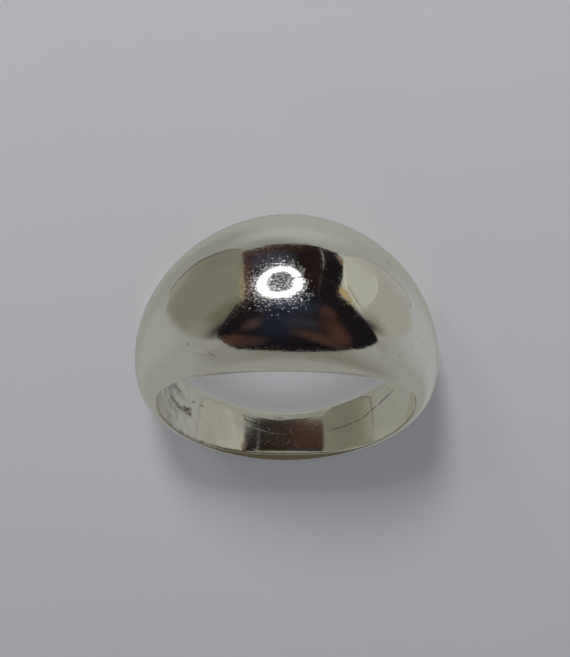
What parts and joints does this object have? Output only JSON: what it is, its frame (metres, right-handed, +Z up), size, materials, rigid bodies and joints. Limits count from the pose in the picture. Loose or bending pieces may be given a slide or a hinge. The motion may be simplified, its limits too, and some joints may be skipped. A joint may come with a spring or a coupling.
{
  "type": "dome ring",
  "caption": "Plain silver finger ring whose band swells into a wide, high, smooth dome; it lies on its side.",
  "frame": {"origin": "on the surface the ring lies on, under the middle of its bounding box", "axes": "+Z up from that surface and close to the finger's axis, -Y towards the dome, X across the ring's two alike halves"},
  "size_m": [0.0214, 0.0242, 0.0115],
  "materials": {
    "silver": "polished sterling silver with fine wear scratches"
  },
  "bodies": {
    "root": {"dome_ring": "silver"}
  },
  "joints": []
}
